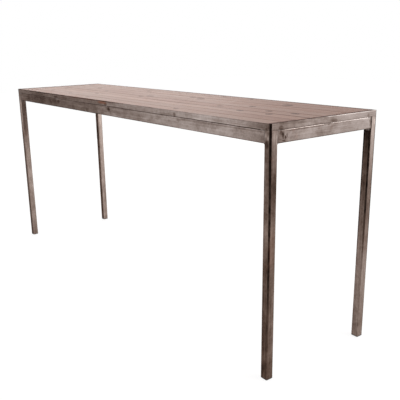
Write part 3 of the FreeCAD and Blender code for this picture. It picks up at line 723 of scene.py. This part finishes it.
def make_beads(name, node, beads, size, length, material):
    """One piece of rippled beads in place of a node of fillet welds."""
    rng = np.random.default_rng(len(node))
    points, faces = [], []
    for origin, sides, along in beads:
        add_bead(points, faces, origin, sides, along, size, length, rng)
    mesh = bpy.data.meshes.new(name)
    mesh.from_pydata(points, [], faces)
    shape = bmesh.new()
    shape.from_mesh(mesh)
    bmesh.ops.recalc_face_normals(shape, faces=shape.faces)
    shape.to_mesh(mesh)
    shape.free()
    mesh.shade_smooth()
    mesh.set_sharp_from_angle(angle=SHARP_ANGLE)
    mesh.materials.append(material)
    piece = bpy.data.objects.new(name, mesh)
    bpy.context.scene.collection.objects.link(piece)
    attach(piece, "frame")
    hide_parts(node)


def make_fillet_welds(material):
    """Beads under the aprons at the legs, and beside the bearers at the aprons."""
    depth = APRON_DEPTH / 2
    beads = []
    for sign_x in (-1, 1):
        for sign_y in (-1, 1):
            beads.append(((sign_x * LEG_FACE_X, sign_y * (HALF_WIDTH - depth), APRON_BOTTOM_Z),
                          ((-sign_x, 0, 0), (0, 0, -1)), (0, 1, 0)))
            beads.append(((sign_x * (HALF_LENGTH - depth), sign_y * LEG_FACE_Y, APRON_BOTTOM_Z),
                          ((0, -sign_y, 0), (0, 0, -1)), (1, 0, 0)))
    length = APRON_DEPTH - 2 * TUBE_CORNER
    make_beads("rippled_leg_welds", "leg_fillet_welds", beads, LEG_BEAD_SIZE, length, material)
    weld_low, weld_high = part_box("bearer_welds")
    beads = []
    for index in range(1, BEARER_COUNT + 1):
        web_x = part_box(f"bearer_{index}")[0].x
        for sign in (-1, 1):
            beads.append(((web_x, sign * weld_high.y, (weld_low.z + weld_high.z) / 2),
                          ((-1, 0, 0), (0, -sign, 0)), (0, 0, 1)))
    length = weld_high.z - weld_low.z
    make_beads("rippled_bearer_welds", "bearer_welds", beads, BEARER_BEAD_SIZE, length, material)


def paint_ground_weld(graph, shades):
    """Weld metal that was ground flush: crossed grinding marks over faint heat colours.

    shades are (place, grey) stops across the table's width, from front to back: painted light and shade by
    where the weld sits.
    """
    place = graph.object_place()
    heat = graph.noise(place, 60.0, 3.0, 0.6)
    marks = graph.noise(graph.stretch(place, (900, 900, 2200)), 1.0, 2.0)
    colour = graph.ramp(graph.add(heat, graph.centred(marks, 0.12)), [
        (0.25, (0.135, 0.099, 0.086)),
        (0.50, (0.352, 0.279, 0.249)),
        (0.75, (0.600, 0.505, 0.463)),
    ])
    share = graph.remap(graph.split(place)[1], -HALF_WIDTH, HALF_WIDTH, kind="LINEAR")
    shade = graph.ramp(share, shades)
    colour = graph.mix(1.0, colour, graph.join(shade, shade, shade), "MULTIPLY")
    return {"Base Color": colour, "Metallic": STEEL_METALLIC,
            "Roughness": graph.remap(marks, 0.3, 0.7, 0.36, 0.54), "Normal": graph.bump(marks, 0.0002, 0.6)}


def paint_weld(graph):
    """Weld metal with heat colours."""
    place = graph.object_place()
    heat = graph.noise(place, 95.0, 4.0, 0.6)
    fine = graph.noise(place, 900.0, 2.0)
    colour = graph.ramp(graph.add(heat, graph.centred(fine, 0.10)), [
        (0.25, (0.045, 0.032, 0.030)),
        (0.45, (0.130, 0.098, 0.090)),
        (0.60, (0.200, 0.155, 0.135)),
        (0.80, (0.320, 0.262, 0.232)),
    ])
    return {"Base Color": colour, "Metallic": 0.85, "Roughness": graph.remap(heat, 0.3, 0.7, 0.38, 0.62),
            "Normal": graph.bump(graph.add(heat, graph.times(fine, 0.4)), 0.0004, 0.6)}


def paint_zinc(graph):
    """Bright zinc plating with its faint crystal flakes."""
    place = graph.object_place()
    flakes = graph.node("ShaderNodeTexVoronoi", {"Vector": place, "Scale": 900.0}).outputs["Distance"]
    cloud = graph.noise(place, 160.0, 3.0)
    colour = graph.ramp(graph.add(graph.times(flakes, 0.4), graph.times(cloud, 0.6)), [
        (0.2, (0.42, 0.42, 0.41)),
        (0.8, (0.68, 0.68, 0.66)),
    ])
    return {"Base Color": colour, "Metallic": 1.0, "Roughness": graph.remap(cloud, 0.3, 0.7, 0.26, 0.42)}


def paint_nylon(graph):
    """Black moulded nylon with scuffs."""
    place = graph.object_place()
    scuffs = graph.noise(graph.stretch(place, (60, 60, 400)), 1.0, 4.0, 0.65)
    grains = graph.noise(place, 2600.0, 2.0)
    colour = graph.ramp(scuffs, [(0.35, (0.016, 0.015, 0.015)), (0.75, (0.050, 0.047, 0.045))])
    return {"Base Color": colour, "Roughness": graph.remap(scuffs, 0.3, 0.7, 0.42, 0.62),
            "Normal": graph.bump(grains, 0.00008, 0.6)}


def paint_rubber(graph):
    """Dull dark rubber with dust."""
    place = graph.object_place()
    dust = graph.noise(place, 220.0, 4.0, 0.6)
    colour = graph.ramp(dust, [(0.35, (0.028, 0.027, 0.026)), (0.75, (0.075, 0.070, 0.066))])
    return {"Base Color": colour, "Roughness": graph.remap(dust, 0.3, 0.7, 0.72, 0.88),
            "Normal": graph.bump(dust, 0.00015, 0.5)}


def dress_small_parts():
    """Welds, fasteners and feet."""
    make_fillet_welds(surface("weld_metal", paint_weld))
    # Painted light and shade for the ground welds by place: darker at the front and back, a painted
    # highlight on the joints by the front legs
    seam_shades = [(0.03, 0.42), (0.10, 0.36), (0.20, 0.67), (0.80, 0.67), (0.94, 0.40), (1.0, 0.50)]
    joint_shades = [(0.03, 0.42), (0.05, 0.95), (0.20, 0.67), (0.80, 0.67), (0.94, 0.40), (1.0, 0.50)]
    looks = [
        (("seam_welds",), surface("ground_seam", lambda graph: paint_ground_weld(graph, seam_shades))),
        (("joint_welds",), surface("ground_joint", lambda graph: paint_ground_weld(graph, joint_shades))),
        (("board_screws", "board_washers", "foot_nuts", "foot_stud"), surface("zinc_plate", paint_zinc)),
        (("foot_plug", "foot_glide"), surface("moulded_nylon", paint_nylon)),
        (("foot_sole",), surface("sole_rubber", paint_rubber)),
    ]
    for words, material in looks:
        for node in NODES:
            if any(word in node for word in words):
                dress(node, material)


def background_rays(graph):
    """1 for the rays that show the background: those from the camera and those mirrored or let through."""
    path = graph.node("ShaderNodeLightPath")
    seen = graph.math("MAXIMUM", path.outputs["Is Camera Ray"], path.outputs["Is Glossy Ray"])
    return graph.math("MAXIMUM", seen, path.outputs["Is Transmission Ray"])


def make_floor():
    """A pale floor with the table's soft shadow: white to the camera and in mirrors, clear from below."""
    half = 14.0
    corners = [(-half, -half, 0), (half, -half, 0), (half, half, 0), (-half, half, 0)]
    mesh = bpy.data.meshes.new("floor")
    mesh.from_pydata(corners, [], [(0, 1, 2, 3)])
    floor = bpy.data.objects.new("floor", mesh)
    bpy.context.scene.collection.objects.link(floor)
    material = bpy.data.materials.new("pale_floor")
    material.use_nodes = True
    graph = Graph(material.node_tree)
    seen = background_rays(graph)
    pale = graph.node("ShaderNodeBsdfDiffuse", {"Color": (0.80, 0.80, 0.80, 1)})
    shadow = graph.node("ShaderNodeBsdfDiffuse", {"Color": (0.22, 0.22, 0.22, 1)})
    white = graph.node("ShaderNodeEmission", {"Color": (1, 1, 1, 1), "Strength": 0.86})
    bright = graph.node("ShaderNodeAddShader", {0: shadow.outputs[0], 1: white.outputs[0]})
    either = graph.node("ShaderNodeMixShader", {0: seen, 1: pale.outputs[0], 2: bright.outputs[0]})
    clear = graph.node("ShaderNodeBsdfTransparent")
    below = graph.node("ShaderNodeNewGeometry").outputs["Backfacing"]
    sided = graph.node("ShaderNodeMixShader", {0: below, 1: either.outputs[0], 2: clear.outputs[0]})
    graph.node("ShaderNodeOutputMaterial", {"Surface": sided.outputs[0]})
    mesh.materials.append(material)


def make_world():
    """White to the camera and in reflections; a pale studio, darker behind the camera, for the light."""
    world = bpy.data.worlds.new("studio")
    bpy.context.scene.world = world
    world.use_nodes = True
    graph = Graph(world.node_tree)
    direction = graph.node("ShaderNodeTexCoord").outputs["Generated"]
    front = graph.node("ShaderNodeVectorMath", {0: direction, 1: (0.45, -0.89, 0.0)},
                       operation="DOT_PRODUCT").outputs["Value"]
    level = graph.remap(front, 0.30, 0.85, 0.80, 0.16)
    studio = graph.node("ShaderNodeBackground", {"Color": (1.0, 0.985, 0.975, 1), "Strength": level})
    white = graph.node("ShaderNodeBackground", {"Color": (1, 1, 1, 1), "Strength": 1.0})
    either = graph.node("ShaderNodeMixShader", {0: background_rays(graph), 1: studio.outputs[0],
                                                2: white.outputs[0]})
    graph.node("ShaderNodeOutputWorld", {"Surface": either.outputs[0]})


def make_lamp(name, place, target, size, power, colour):
    """A soft square lamp that faces the target."""
    light = bpy.data.lights.new(name, "AREA")
    light.shape = "SQUARE"
    light.size = size
    light.energy = power
    light.color = colour
    lamp = bpy.data.objects.new(name, light)
    lamp.location = place
    lamp.rotation_euler = (Vector(target) - Vector(place)).to_track_quat("-Z", "Y").to_euler()
    bpy.context.scene.collection.objects.link(lamp)


def make_camera():
    """The camera that was fitted to the photograph's edges."""
    eye = Vector((2.7118, -1.7769, 1.3309))
    azimuth, elevation, roll = (math.radians(a) for a in (53.679, 15.532, -1.163))
    forward = Vector((-math.sin(azimuth) * math.cos(elevation), math.cos(azimuth) * math.cos(elevation),
                      -math.sin(elevation)))
    level = Vector((math.cos(azimuth), math.sin(azimuth), 0))
    right = level * math.cos(roll) + level.cross(forward) * math.sin(roll)
    up = right.cross(forward)
    data = bpy.data.cameras.new("camera")
    data.sensor_width = 36.0
    data.lens = 52.424
    data.shift_x = 0.030
    data.shift_y = 0.0075
    camera = bpy.data.objects.new("camera", data)
    axes = Matrix((right, up, -forward)).transposed().to_4x4()
    camera.matrix_world = Matrix.Translation(eye) @ axes
    bpy.context.scene.collection.objects.link(camera)
    bpy.context.scene.camera = camera


make_top()
dress_frame()
dress_small_parts()
make_floor()
make_world()
make_lamp("key", (3.6, 1.9, 2.3), (0.8, 0, 0.8), 2.0, 50, (1, 1, 1))
make_lamp("left", (-4.3, 2.4, 1.9), (-0.5, 0, 1.0), 3.2, 57, (1.0, 0.93, 0.89))
make_lamp("fill", (-1.6, -3.8, 2.2), (0.2, 0, 0.7), 2.4, 19, (0.95, 0.985, 1.0))
make_camera()
bpy.context.scene.view_settings.view_transform = "Standard"
